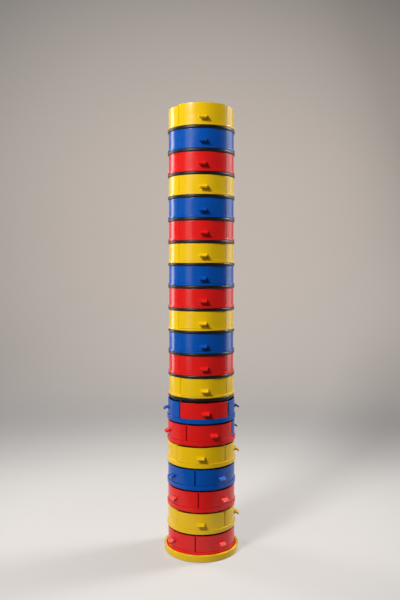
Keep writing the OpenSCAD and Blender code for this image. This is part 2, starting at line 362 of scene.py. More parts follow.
class Graph:
    """A material's nodes, with short ways to add the usual ones.

    Attributes:
        nodes: The nodes.
        links: The links between them.
        shader: The shader of the material's surface.
        place: The object's own coordinates.
    """

    def __init__(self, material: bpy.types.Material) -> None:
        """Opens a new material's nodes.

        Args:
            material: The material.
        """
        material.use_nodes = True
        self.nodes = material.node_tree.nodes
        self.links = material.node_tree.links
        self.shader = self.nodes["Principled BSDF"]
        self.place = self.nodes.new("ShaderNodeTexCoord").outputs["Object"]

    def set_value(self, socket: str, value: float) -> None:
        """Gives one of the shader's sockets a constant value."""
        self.shader.inputs[socket].default_value = value

    def feed(self, socket: str, source: Socket) -> None:
        """Joins a value to one of the shader's sockets."""
        self.links.new(source, self.shader.inputs[socket])

    def noise(self, grain: Grain) -> Socket:
        """A noise over the object.

        Args:
            grain: How fine it is.

        Returns:
            The noise, 0 to 1.
        """
        noise = self.nodes.new("ShaderNodeTexNoise")
        noise.inputs["Scale"].default_value = grain.scale
        noise.inputs["Detail"].default_value = grain.detail
        self.links.new(self.place, noise.inputs["Vector"])
        return noise.outputs["Fac"]

    def fade(self, value: Socket, span: Point2, ends: Point2, curve: str = "LINEAR") -> Socket:
        """A value that runs from one number to another as its source crosses a span.

        Args:
            value: The source.
            span: Where the change begins and ends.
            ends: The numbers there.
            curve: The kind of change, as a Map Range node names it.

        Returns:
            The value.
        """
        fade = self.nodes.new("ShaderNodeMapRange")
        fade.interpolation_type = curve
        fade.inputs["From Min"].default_value, fade.inputs["From Max"].default_value = span
        fade.inputs["To Min"].default_value, fade.inputs["To Max"].default_value = ends
        self.links.new(value, fade.inputs["Value"])
        return fade.outputs["Result"]

    def blend(self, factor: Socket, first: Colour, second: Colour) -> Socket:
        """A colour between two.

        Args:
            factor: Where the colour lies between the two, 0 to 1.
            first: The colour at 0.
            second: The colour at 1.

        Returns:
            The colour.
        """
        blend = self.nodes.new("ShaderNodeMix")
        blend.data_type = "RGBA"
        blend.inputs["A"].default_value = (*first, 1.0)
        blend.inputs["B"].default_value = (*second, 1.0)
        self.links.new(factor, blend.inputs["Factor"])
        return blend.outputs["Result"]

    def combine(self, operation: str, first: Socket, second: Socket) -> Socket:
        """Two values brought together and kept within 0 and 1.

        Args:
            operation: What is done with them, as a Math node names it.
            first: The first value.
            second: The second value.

        Returns:
            The value.
        """
        step = self.nodes.new("ShaderNodeMath")
        step.operation = operation
        step.use_clamp = True
        self.links.new(first, step.inputs[0])
        self.links.new(second, step.inputs[1])
        return step.outputs["Value"]

    def distance(self, middle: Point3, size: Point3) -> Socket:
        """How far a place on the object is from a middle.

        Args:
            middle: Where the distance is 0.
            size: The length along X, Y and Z that counts as 1.

        Returns:
            The distance.
        """
        shift = self._vector("SUBTRACT", self.place, middle)
        scale = self._vector("DIVIDE", shift.outputs["Vector"], size)
        return self._vector("LENGTH", scale.outputs["Vector"], middle).outputs["Value"]

    def _vector(self, operation: str, first: Socket, second: Point3) -> bpy.types.Node:
        """A step with two vectors.

        Args:
            operation: What is done with them, as a Vector Math node names it.
            first: The first vector.
            second: The second vector, which a length leaves out.

        Returns:
            The step's node.
        """
        step = self.nodes.new("ShaderNodeVectorMath")
        step.operation = operation
        step.inputs[1].default_value = second
        self.links.new(first, step.inputs[0])
        return step


@dataclass(frozen=True)
class MouldedPlastic:
    """Glossy moulded plastic with a faint mottle, fine ripple and worn patches.

    Attributes:
        name: The material's name.
        colour: The body colour, linear.
        gloss_low: Roughness where the moulding is polished.
        gloss_high: Roughness where it has been handled.
        ior: Index of refraction, which sets how strongly it reflects.
        mottle: The mottle's grain.
        mottle_shades: Brightness of the mottle's dark and pale parts against the body colour.
        wear: The worn patches' grain.
        wear_span: The noise's values at which the polish begins and ends to go.
        ripple: The ripple's grain.
        ripple_strength: How much of the ripple shows.
        ripple_height: Height of the ripple.
    """

    name: str
    colour: Colour
    gloss_low: float = 0.16
    gloss_high: float = 0.27
    ior: float = 1.43
    mottle: Grain = Grain(scale=14.0, detail=3.0)
    mottle_shades: Point2 = (0.93, 1.05)
    wear: Grain = Grain(scale=55.0, detail=5.0)
    wear_span: Point2 = (0.3, 0.7)
    ripple: Grain = Grain(scale=320.0, detail=2.0)
    ripple_strength: float = 0.06
    ripple_height: float = 0.2 * MM

    def build(self) -> bpy.types.Material:
        """Makes the material.

        Returns:
            The new material.
        """
        material = bpy.data.materials.new(self.name)
        graph = Graph(material)
        graph.set_value("IOR", self.ior)
        dark, pale = (tuple(min(1.0, c * shade) for c in self.colour) for shade in self.mottle_shades)
        graph.feed("Base Color", graph.blend(graph.noise(self.mottle), dark, pale))
        gloss = (self.gloss_low, self.gloss_high)
        graph.feed("Roughness", graph.fade(graph.noise(self.wear), self.wear_span, gloss))
        bump = graph.nodes.new("ShaderNodeBump")
        bump.inputs["Strength"].default_value = self.ripple_strength
        bump.inputs["Distance"].default_value = self.ripple_height
        graph.links.new(graph.noise(self.ripple), bump.inputs["Height"])
        graph.feed("Normal", bump.outputs["Normal"])
        return material


COLOURED = {
    Slot.YELLOW: MouldedPlastic("yellow_moulding", (0.86, 0.535, 0.004)),
    Slot.BLUE: MouldedPlastic("blue_moulding", (0.001, 0.080, 0.41)),
    Slot.RED: MouldedPlastic("red_moulding", (0.76, 0.012, 0.010)),
}
RING_BLACK = MouldedPlastic("black_foot_ring", (0.011, 0.009, 0.008), gloss_low=0.3, gloss_high=0.38)


class Paints:
    """The built materials, one for each finish in use.

    Attributes:
        ring: The foot rings' black.
    """

    def __init__(self) -> None:
        """Builds the coloured plastics and the ring's black."""
        self._coloured = {slot: plastic.build() for slot, plastic in COLOURED.items()}
        self.ring = RING_BLACK.build()

    def of(self, slot: Slot) -> bpy.types.Material:
        """The material of a slot."""
        return self._coloured[slot]


# ---------------------------------------------------------------- shaping


def turned(profile: Sequence[Point2], looped: bool, steps: int = TURN_STEPS) -> bmesh.types.BMesh:
    """Spins a profile all the way round the axis.

    Args:
        profile: Points as (radius, height).
        looped: Whether the last point joins the first, as in a ring's section.
        steps: Facets in the full turn.

    Returns:
        A closed shell.
    """
    shell = bmesh.new()
    corners = [shell.verts.new((r, 0.0, z)) for r, z in profile]
    pairs = list(zip(corners, corners[1:]))
    if looped:
        pairs.append((corners[-1], corners[0]))
    edges = [shell.edges.new(pair) for pair in pairs]
    bmesh.ops.spin(
        shell,
        geom=corners + edges,
        cent=(0, 0, 0),
        axis=(0, 0, 1),
        angle=FULL_TURN,
        steps=steps,
        use_merge=True,
    )
    bmesh.ops.remove_doubles(shell, verts=shell.verts, dist=ONE_POINT)
    return shell


def curved_wall(
    r_in: float, r_out: float, low: float, high: float, start: float, sweep: float
) -> bmesh.types.BMesh:
    """A wall that follows the tower's round, from one angle on.

    Args:
        r_in: Inside radius.
        r_out: Outside radius.
        low: Height of its bottom.
        high: Height of its top.
        start: Where it begins, from the front towards the right, in radians.
        sweep: How far it runs, in radians.

    Returns:
        A closed shell.
    """
    wall = bmesh.new()
    out = Vector((math.sin(start), -math.cos(start), 0))
    section = [(r_in, low), (r_out, low), (r_out, high), (r_in, high)]
    corners = [wall.verts.new(out * r + Vector((0, 0, z))) for r, z in section]
    end = wall.faces.new(corners)
    steps = max(FEWEST_FACETS, round(sweep / WALL_FACET))
    bmesh.ops.spin(
        wall,
        geom=[*corners, *end.edges, end],
        cent=(0, 0, 0),
        axis=(0, 0, 1),
        angle=sweep,
        steps=steps,
    )
    bmesh.ops.holes_fill(wall, edges=wall.edges, sides=4)
    return wall


def slab(low: Sequence[float], high: Sequence[float]) -> bmesh.types.BMesh:
    """A block between two corners.

    Args:
        low: The corner with the least coordinates.
        high: The corner opposite.

    Returns:
        A closed shell.
    """
    block = bmesh.new()
    size = Vector(high) - Vector(low)
    middle = (Vector(high) + Vector(low)) / 2
    place = Matrix.Translation(middle) @ Matrix.Diagonal((*size, 1))
    bmesh.ops.create_cube(block, size=1.0, matrix=place)
    return block


def cut_disc(radius: float, cuts: Iterable[tuple[Point2, Point2]]) -> bmesh.types.BMesh:
    """A flat disc with straight sides cut off, as the plan of a tray.

    Args:
        radius: The disc's radius.
        cuts: For each straight side, a point on it and the way out across it.

    Returns:
        One flat face at height 0.
    """
    plan = bmesh.new()
    bmesh.ops.create_circle(plan, cap_ends=True, radius=radius, segments=DISC_SEGMENTS)
    for point, outward in cuts:
        bmesh.ops.bisect_plane(
            plan,
            geom=[*plan.verts, *plan.edges, *plan.faces],
            plane_co=(*point, 0),
            plane_no=(*outward, 0),
            clear_outer=True,
        )
    return plan


def pull(
    shell: bmesh.types.BMesh, faces: list[bmesh.types.BMFace], by: Point3, keep: bool
) -> list[bmesh.types.BMFace]:
    """Extrudes faces along a straight line.

    Args:
        shell: The shell that they belong to.
        faces: The faces.
        by: How far they are moved.
        keep: Whether the old faces stay, as the other end of what is pulled.

    Returns:
        The faces at the new end.
    """
    grown = bmesh.ops.extrude_face_region(shell, geom=faces, use_keep_orig=keep)["geom"]
    bmesh.ops.translate(shell, vec=by, verts=[v for v in grown if isinstance(v, bmesh.types.BMVert)])
    return [f for f in grown if isinstance(f, bmesh.types.BMFace)]


def tray(plan: bmesh.types.BMesh, low: float, top: float) -> bmesh.types.BMesh:
    """Raises a plan into an open tray with sides and a floor.

    Args:
        plan: One flat face at height 0.
        low: Height of the tray's underside.
        top: Height of its rim.

    Returns:
        A closed shell.
    """
    bmesh.ops.translate(plan, vec=(0, 0, low), verts=plan.verts)
    bmesh.ops.recalc_face_normals(plan, faces=plan.faces)
    rim = pull(plan, list(plan.faces), (0, 0, top - low), keep=True)
    bmesh.ops.inset_region(plan, faces=rim, thickness=SIZES.tray_t, use_even_offset=True)
    pull(plan, rim, (0, 0, low + SIZES.floor_t - top), keep=False)
    bmesh.ops.delete(plan, geom=[f for f in rim if f.is_valid], context="FACES_ONLY")
    return plan


def swing(shell: bmesh.types.BMesh, turn: float) -> None:
    """Turns a shell about the tower's axis."""
    bmesh.ops.rotate(shell, cent=(0, 0, 0), matrix=Matrix.Rotation(turn, 3, "Z"), verts=shell.verts)


def round_off(
    shell: bmesh.types.BMesh,
    edges: list[bmesh.types.BMEdge],
    width: float,
    segments: int,
    clamped: bool = False,
) -> None:
    """Rounds some of a shell's edges.

    Args:
        shell: The shell.
        edges: The edges to round.
        width: Radius of the rounding.
        segments: Facets across it.
        clamped: Whether the rounding shrinks where it would meet another.
    """
    bmesh.ops.bevel(
        shell,
        geom=edges,
        affect="EDGES",
        offset=width,
        offset_type="OFFSET",
        segments=segments,
        profile=0.5,
        material=-1,
        clamp_overlap=clamped,
    )


def soften(shell: bmesh.types.BMesh, width: float, segments: int) -> None:
    """Rounds every sharp edge of a shell.

    Args:
        shell: The shell.
        width: Radius of the rounding.
        segments: Facets across it.
    """
    bmesh.ops.recalc_face_normals(shell, faces=shell.faces)
    sharp = [e for e in shell.edges if e.is_manifold and e.calc_face_angle(0.0) > ROUNDED_OVER]
    round_off(shell, sharp, width, segments, clamped=True)


def round_rims(shell: bmesh.types.BMesh, radius: float, width: float, segments: int) -> None:
    """Rounds the edges that run round a turned shell at one radius.

    Args:
        shell: The turned shell.
        radius: The radius of the edges.
        width: Radius of the rounding.
        segments: Facets across it.
    """
    bmesh.ops.recalc_face_normals(shell, faces=shell.faces)
    steep = [e for e in shell.edges if e.calc_face_angle(0.0) > QUARTER / 2]
    rims = [e for e in steep if all(abs(v.co.xy.length - radius) < SAME_LENGTH for v in e.verts)]
    round_off(shell, rims, width, segments)


class Moulding:
    """One plastic moulding, gathered from closed shells into a single mesh.

    Attributes:
        name: The name of the object that it becomes.
        mesh: What has been gathered.
    """

    def __init__(self, name: str) -> None:
        """Starts an empty moulding of that name."""
        self.name = name
        self.mesh = bmesh.new()

    def add(self, shell: bmesh.types.BMesh, round_by: float = 0.0, segments: int = 2) -> None:
        """Adds a shell, with its edges rounded if asked.

        Args:
            shell: The shell, which is used up.
            round_by: Radius of the rounding, or 0 for none.
            segments: Facets across the rounding.
        """
        if round_by:
            soften(shell, round_by, segments)
        bmesh.ops.recalc_face_normals(shell, faces=shell.faces)
        carried = bpy.data.meshes.new("carried")
        shell.to_mesh(carried)
        shell.free()
        self.mesh.from_mesh(carried)
        bpy.data.meshes.remove(carried)

    def place(self, height: float, turn: float) -> None:
        """Turns the moulding about the tower's axis and lifts it."""
        at = Matrix.Translation((0, 0, height)) @ Matrix.Rotation(turn, 4, "Z")
        bmesh.ops.transform(self.mesh, matrix=at, verts=self.mesh.verts)

    def finish(self, paint: bpy.types.Material, body: str, node: str, slot: Slot | None) -> None:
        """Makes the moulding an object that stands for its solid.

        Args:
            paint: Its material.
            body: The body that it rides on.
            node: The solid that it stands for.
            slot: The record's slot, if it has one; not used.
        """
        data = bpy.data.meshes.new(self.name)
        self.mesh.to_mesh(data)
        faces = len(self.mesh.faces)
        self.mesh.free()
        data.materials.append(paint)
        data.shade_smooth()
        data.set_sharp_from_angle(angle=SHARP_OVER)
        piece = bpy.data.objects.new(self.name, data)
        bpy.context.scene.collection.objects.link(piece)
        smooth = piece.modifiers.new("even_shading", "WEIGHTED_NORMAL")
        smooth.keep_sharp = True
        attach(piece, body)
        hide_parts(node)
        LOG.info("%s: %d faces", self.name, faces)


# ---------------------------------------------------------------- pieces


@dataclass
class CurvedFront:
    """A drawer's curved front with its finger tab.

    Attributes:
        radius: Outside radius.
        seam: How far each side ends short of a quarter turn.
        low: Height of its bottom.
        high: Height of its top.
        edge: Rounding of the front's edges.
        tab_edge: Rounding of the tab's edges.
        tip_edge: Rounding of the tab's two outer corners.
        tip_segments: Facets across that rounding.
    """

    radius: float
    seam: float
    low: float
    high: float
    edge: float = 0.6 * MM
    tab_edge: float = 0.5 * MM
    tip_edge: float = 1.6 * MM
    tip_segments: int = 4

    def panel(self) -> bmesh.types.BMesh:
        """The curved front, a seam short of a quarter turn."""
        half = QUARTER / 2 - math.asin(self.seam / self.radius)
        return curved_wall(self.radius - SIZES.wall_t, self.radius, self.low, self.high, -half, 2 * half)

    def tab(self) -> bmesh.types.BMesh:
        """The flat finger tab, which rises a little and then slopes down outwards.

        Returns:
            A closed shell at the front.
        """
        s = SIZES
        root_top = s.tab_t / 4
        drop = (s.tab_reach - s.tab_rise) * math.tan(s.tab_slope)
        sink = s.wall_t - s.bite
        lean_out, lean_down = math.sin(s.tab_slope), math.cos(s.tab_slope)
        tip = (s.tab_reach, s.tab_t - drop)
        heel = (tip[0] - s.tab_t * lean_out, tip[1] - s.tab_t * lean_down)
        side = [
            (-sink, root_top),
            (0.0, root_top),
            (s.tab_rise, s.tab_t),
            tip,
            heel,
            (s.tab_rise, s.tab_t - s.tab_t / lean_down),
            (0.0, -s.tab_t),
            (-sink, -s.tab_t),
        ]
        shell = bmesh.new()
        corners = [shell.verts.new((-s.tab_w / 2, -self.radius - u, s.tab_z + v)) for u, v in side]
        end = shell.faces.new(corners)
        pull(shell, [end], (s.tab_w, 0, 0), keep=True)
        bmesh.ops.recalc_face_normals(shell, faces=shell.faces)
        down = Vector((0.0, lean_out, -lean_down))
        runs = {e: (e.verts[1].co - e.verts[0].co).normalized() for e in shell.edges}
        tips = [e for e, run in runs.items() if abs(run.dot(down)) > PARALLEL]
        round_off(shell, tips, self.tip_edge, self.tip_segments)
        return shell

    def build(self, moulding: Moulding) -> None:
        """Adds the front and its tab to a drawer's moulding."""
        moulding.add(self.panel(), self.edge)
        moulding.add(self.tab(), self.tab_edge)


@dataclass
class SubAssembly:
    """A part of the tower that is built and dressed by itself.

    Attributes:
        frame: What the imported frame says.
        paints: The built materials.
    """

    frame: Frame
    paints: Paints

    def hand_over(self, moulding: Moulding, body: str, node: str) -> None:
        """Finishes a moulding in the colour of the solid that it stands for.

        Args:
            moulding: The moulding, in place.
            body: The body that it rides on.
            node: The solid.
        """
        slot = Slot(self.frame.slots[node])
        moulding.finish(self.paints.of(slot), body, node, slot)


@dataclass
class Tier(SubAssembly):
    """A tier of the tower, which turns on the one beneath.

    Attributes:
        number: Its number from the top.
        tray_edge: Rounding of its trays.
    """

    number: int
    tray_edge: float = 0.35 * MM

    @property
    def name(self) -> str:
        """The name of the tier's body."""
        return f"tier_{self.number:02d}"

    @property
    def height(self) -> float:
        """Height of the tier's bottom above the ground."""
        return self.frame.tier_z(self.number)


@dataclass
class RoundTier(Tier):
    """A tier with a round housing on a black foot ring, and one drawer at the front.

    Attributes:
        ring_edge: Rounding of the foot ring's outer edges.
        ring_segments: Facets across that rounding.
        edge: Rounding of the ring's other edges, the floor and the wall.
        guide_edge: Rounding of the drawer guides.
    """

    ring_edge: float = 2.4 * MM
    ring_segments: int = 6
    edge: float = 0.5 * MM
    guide_edge: float = 0.4 * MM

    @property
    def turn(self) -> float:
        """Angle of the drawer's way out."""
        return self.frame.drawer_turn(f"{self.name}_drawer")

    @property
    def top(self) -> bool:
        """Whether the tier is the topmost."""
        return self.number == ROUND_TIERS[0]

    @property
    def front_top(self) -> float:
        """Height of the drawer front's top above the tier's bottom."""
        if self.top:
            return SIZES.top_wall_z + SIZES.top_step
        return SIZES.tier_pitch - SIZES.slide_gap

    def ring(self) -> Moulding:
        """The glossy black ring with the spigot that turns in the tier beneath.

        Returns:
            Its moulding, in place.
        """
        s = SIZES
        ring = Moulding(f"{self.name}_foot_ring")
        inner = s.ring_r - s.ring_w
        spigot_in = s.spigot_r - s.spigot_t
        section = [
            (spigot_in, -s.spigot_h),
            (s.spigot_r, -s.spigot_h),
            (s.spigot_r, 0.0),
            (s.ring_r, 0.0),
            (s.ring_r, s.ring_h - s.ring_seam),
            (inner, s.ring_h - s.ring_seam),
            (inner, 0.0),
        ]
        if abs(inner - spigot_in) < SAME_LENGTH:
            section.pop()
        shell = turned(section, looped=True)
        round_rims(shell, s.ring_r, self.ring_edge, self.ring_segments)
        ring.add(shell, self.edge)
        ring.place(self.height, self.turn)
        return ring

    def housing(self) -> Moulding:
        """The coloured floor with its lip, the wall round the back and sides, and the drawer guides.

        Returns:
            Its moulding, in place.
        """
        s = SIZES
        shell = Moulding(f"{self.name}_shell")
        under = s.floor_z - s.floor_t
        inner = s.ring_r - s.ring_w
        floor = [
            (0.0, under),
            (inner, under),
            (inner, s.ring_h),
            (s.ring_r, s.ring_h),
            (s.ring_r, s.floor_z),
            (0.0, s.floor_z),
        ]
        shell.add(turned(floor, looped=False), self.edge)
        sweep = FULL_TURN - QUARTER
        low = s.floor_z - s.bite
        high = s.top_wall_z if self.top else s.wall_top_z
        shell.add(curved_wall(s.wall_r, s.round_r, low, high, QUARTER / 2, sweep), self.edge)
        if self.top:
            ledge = curved_wall(
                s.wall_r - s.ledge_w, s.wall_r + s.bite, s.lid_z - s.ledge_t, s.lid_z, QUARTER / 2, sweep
            )
            shell.add(ledge)
        reach, inside, outside = s.guide_reach, s.guide_x, s.guide_x + s.tray_t
        top = s.floor_z + s.guide_h
        shell.add(slab((inside, -reach, low), (outside, reach, top)), self.guide_edge)
        shell.add(slab((-outside, -reach, low), (-inside, reach, top)), self.guide_edge)
        shell.add(slab((-outside, reach - s.tray_t, low), (outside, reach, top)), self.guide_edge)
        shell.place(self.height, self.turn)
        return shell

    def drawer(self) -> Moulding:
        """The drawer: a wide tray behind a curved front.

        Returns:
            Its moulding, in place.
        """
        s = SIZES
        drawer = Moulding(f"{self.name}_drawer_moulding")
        side = s.tray_half_w
        cuts = [((side, 0), (1, 0)), ((-side, 0), (-1, 0)), ((0, s.tray_back_y), (0, 1))]
        plan = cut_disc(s.wall_r + s.tray_t, cuts)
        drawer.add(tray(plan, s.tray_z, s.tray_top_z), self.tray_edge)
        CurvedFront(s.round_r, s.seam_w, s.tray_z, self.front_top).build(drawer)
        drawer.place(self.height, self.turn)
        return drawer

    def build(self) -> None:
        """Makes the tier's pieces."""
        housing = f"{self.name}_housing"
        drawer = f"{self.name}_drawer"
        self.ring().finish(self.paints.ring, self.name, housing, None)
        self.hand_over(self.housing(), self.name, housing)
        self.hand_over(self.drawer(), drawer, drawer)


@dataclass
class QuarterTier(Tier):
    """A tier divided in four, with quarter drawers in its open bays and a wall round the closed ones.

    Attributes:
        rim_edge: Rounding of the rimmed floor.
        wall_edge: Rounding of the fixed wall.
        partition_edge: Rounding of the partitions.
        end_edge: Rounding of their feet and upright ends.
        hub_edge: Rounding of the hub.
        rail_edge: Rounding of the rails.
        runner_edge: Rounding of the runners.
    """

    rim_edge: float = 0.6 * MM
    wall_edge: float = 0.5 * MM
    partition_edge: float = 0.3 * MM
    end_edge: float = 0.2 * MM
    hub_edge: float = 0.4 * MM
    rail_edge: float = 0.3 * MM
    runner_edge: float = 0.2 * MM

    @property
    def turn(self) -> float:
        """Angle of the front drawer's way out."""
        return self.frame.drawer_turn(f"{self.name}_front_drawer")

    @property
    def drawers(self) -> list[str]:
        """The names of the tier's drawers."""
        return self.frame.drawers(self.number)

    def _bay(self, drawer: str) -> int:
        """Which quarter a drawer is in, counted from the front one towards the right."""
        return round((self.frame.drawer_turn(drawer) - self.turn) / QUARTER) % len(BAYS)

    def carcass(self) -> Moulding:
        """The rimmed floor, the crossed partitions round their hub, the rails and the fixed wall.

        Returns:
            Its moulding, in place.
        """
        s = SIZES
        shell = Moulding(f"{self.name}_carcass_moulding")
        under = s.rim_h - s.floor_t
        spigot_in = s.spigot_r - s.spigot_t
        rim_in = s.rim_r - s.wall_t
        floor = [
            (0.0, under),
            (spigot_in, under),
            (spigot_in, -s.spigot_h),
            (s.spigot_r, -s.spigot_h),
            (s.spigot_r, under),
            (rim_in, under),
            (rim_in, 0.0),
            (s.rim_r, 0.0),
            (s.rim_r, s.rim_h),
            (0.0, s.rim_h),
        ]
        shell.add(turned(floor, looped=False), self.rim_edge)
        self._partitions(shell)
        for bay in BAYS:
            self._rail(shell, bay)
        self._closed_wall(shell)
        shell.place(self.height, self.turn)
        return shell

    def _partitions(self, shell: Moulding) -> None:
        """Adds the crossed partitions with their four upright ends, and the hub.

        Args:
            shell: The carcass's moulding.
        """
        s = SIZES
        low = s.rim_h - s.bite
        seat = s.seat_z
        horn_r = s.bay_r - s.turn_gap
        horn_top = s.tier_pitch - s.turn_gap
        half = s.partition_t / 2
        reach = horn_r - s.edge_relief
        for turn in (QUARTER / 2, -QUARTER / 2):
            wall = slab((-reach, -half, low), (reach, half, seat))
            swing(wall, turn)
            shell.add(wall, self.partition_edge)
        for bay in BAYS:
            foot = slab((reach - s.foot_lap, -half, seat - s.edge_relief), (horn_r, half, seat))
            horn = slab((s.wall_r, -half, seat - s.horn_lap), (horn_r, half, horn_top))
            for end in (foot, horn):
                swing(end, QUARTER / 2 + bay * QUARTER)
                shell.add(end, self.end_edge)
        hub = [(0.0, low), (s.hub_r, low), (s.hub_r, seat), (0.0, seat)]
        shell.add(turned(hub, looped=False, steps=HUB_STEPS), self.hub_edge)

    def _rail(self, shell: Moulding, bay: int) -> None:
        """Adds the low rail that guides a quarter drawer.

        Args:
            shell: The carcass's moulding.
            bay: The quarter that it lies in.
        """
        s = SIZES
        low, high = s.rim_h - s.bite, s.rim_h + s.rail_h
        rail = slab((-s.rail_w / 2, -s.rail_end, low), (s.rail_w / 2, -s.bay_start, high))
        swing(rail, bay * QUARTER)
        shell.add(rail, self.rail_edge)

    def _closed_wall(self, shell: Moulding) -> None:
        """Adds the fixed wall round the bays that have no drawer.

        Args:
            shell: The carcass's moulding.
        """
        s = SIZES
        open_bays = {self._bay(drawer) for drawer in self.drawers}
        closed = [bay for bay in BAYS if bay not in open_bays]
        if not closed:
            return
        first = next(bay for bay in closed if (bay - 1) % len(BAYS) in open_bays)
        beyond = math.asin((s.bay_seam_w - s.slide_gap) / s.quarter_r)
        start = first * QUARTER - QUARTER / 2 - beyond
        sweep = len(closed) * QUARTER + 2 * beyond
        low, high = s.rim_h - s.bite, s.tier_pitch - s.wall_gap
        inside = s.bay_r - s.turn_gap - s.bite
        shell.add(curved_wall(inside, s.quarter_r, low, high, start, sweep), self.wall_edge)

    def drawer(self, node: str) -> Moulding:
        """One quarter drawer: a wedge-shaped tray on two runners, behind a curved front.

        Args:
            node: The drawer's solid.

        Returns:
            Its moulding, in place.
        """
        s = SIZES
        drawer = Moulding(f"{node}_moulding")
        inset = s.partition_t / 2 + s.bay_gap
        tip = -inset * math.sqrt(2)
        cuts = [((0, tip), (1, 1)), ((0, tip), (-1, 1)), ((0, -s.bay_start), (0, 1))]
        plan = cut_disc(s.bay_r + s.tray_t, cuts)
        drawer.add(tray(plan, s.bay_floor_z, s.tray_top_z), self.tray_edge)
        for side in (-1, 1):
            middle = side * (s.rail_w / 2 + s.guide_gap + s.runner_t / 2)
            low = (middle - s.runner_t / 2, -s.rail_end, s.runner_z)
            high = (middle + s.runner_t / 2, -s.bay_start - s.tray_t, s.bay_floor_z + s.bite)
            drawer.add(slab(low, high), self.runner_edge)
        high = s.tier_pitch - s.shadow_gap
        CurvedFront(s.quarter_r, s.bay_seam_w, s.runner_z, high).build(drawer)
        drawer.place(self.height, self.frame.drawer_turn(node))
        return drawer

    def build(self) -> None:
        """Makes the tier's pieces."""
        self.hand_over(self.carcass(), self.name, f"{self.name}_carcass")
        for drawer in self.drawers:
            self.hand_over(self.drawer(drawer), drawer, drawer)


@dataclass
class Base(SubAssembly):
    """The dished round base that the lowest tier turns in.

    Attributes:
        edge: Rounding of the dish's edges.
        segments: Facets across that rounding.
    """

    edge: float = 1.1 * MM
    segments: int = 3

    def build(self) -> None:
        """Makes the base with its lip, its hollow underside and its ribs."""
        s = SIZES
        low_z = self.frame.tier_z(QUARTER_TIERS[-1])
        seat = low_z - s.spigot_h - s.seat_gap
        floor = low_z - s.turn_gap
        under = seat - s.base_skin
        foot_in = s.base_r - s.base_skin
        profile = [
            (0.0, under),
            (s.wall_r, under),
            (s.wall_r + s.base_skin, floor - s.base_skin),
            (foot_in, floor - s.base_skin),
            (foot_in - s.base_taper, 0.0),
            (s.base_r - s.base_taper, 0.0),
            (s.base_r, 2 * s.base_taper),
            (s.base_r, s.base_h),
            (s.base_inner_r, s.base_h),
            (s.base_inner_r, floor),
            (s.wall_r, floor),
            (s.wall_r, seat),
            (0.0, seat),
        ]
        dish = Moulding("base_dish")
        dish.add(turned(profile, looped=False), self.edge, self.segments)
        half = s.base_skin / 2
        for rib in range(s.base_ribs):
            bar = slab((0.0, -half, 0.0), (foot_in - s.base_taper, half, under + s.bite))
            swing(bar, rib * FULL_TURN / s.base_ribs)
            dish.add(bar)
        hub = [(0.0, 0.0), (s.hub_r, 0.0), (s.hub_r, under + s.bite), (0.0, under + s.bite)]
        dish.add(turned(hub, looped=False, steps=HUB_STEPS))
        self.hand_over(dish, "base", "base")


@dataclass
class TopLid(SubAssembly):
    """The lid that is set into the top tier, with its low round grip.

    Attributes:
        edge: Rounding of its edges.
        segments: Facets across that rounding.
    """

    edge: float = 0.8 * MM
    segments: int = 3

    def build(self) -> None:
        """Makes the lid with its grip."""
        s = SIZES
        disc_top = s.lid_z + s.floor_t
        grip_top = s.tier_pitch - s.slide_gap
        profile = [
            (0.0, s.lid_z),
            (s.spigot_r, s.lid_z),
            (s.spigot_r, disc_top),
            (s.lid_grip_r, disc_top),
            (s.lid_grip_r, grip_top),
            (0.0, grip_top),
        ]
        lid = Moulding("lid_moulding")
        lid.add(turned(profile, looped=False), self.edge, self.segments)
        lid.place(self.frame.tier_z(ROUND_TIERS[0]), 0.0)
        self.hand_over(lid, "top_lid", "top_lid")


# ---------------------------------------------------------------- studio


@dataclass(frozen=True)
class Softbox:
    """A rectangular soft lamp that faces the tower.

    Attributes:
        name: Its name.
        bearing: Where it stands, from the camera's side towards the right, in degrees.
        away: Distance from the tower's axis.
        height: Height of its middle.
        width: Its width.
        tall: Its height.
        power: Its power in watts.
        spread: How wide its beam fans out, in degrees.
    """

    name: str
    bearing: float
    away: float
    height: float
    width: float
    tall: float
    power: float
    spread: float = 180.0

    def build(self, aim: Vector) -> None:
        """Hangs the lamp and turns it to a point.

        Args:
            aim: The point that it faces.
        """
        lamp = bpy.data.lights.new(self.name, "AREA")
        lamp.shape = "RECTANGLE"
        lamp.size, lamp.size_y = self.width, self.tall
        lamp.energy = self.power
        lamp.spread = math.radians(self.spread)
        holder = bpy.data.objects.new(self.name, lamp)
        bearing = math.radians(self.bearing)
        place = Vector((math.sin(bearing) * self.away, -math.cos(bearing) * self.away, self.height))
        holder.location = place
        holder.rotation_euler = (aim - place).to_track_quat("-Z", "Y").to_euler()
        bpy.context.scene.collection.objects.link(holder)


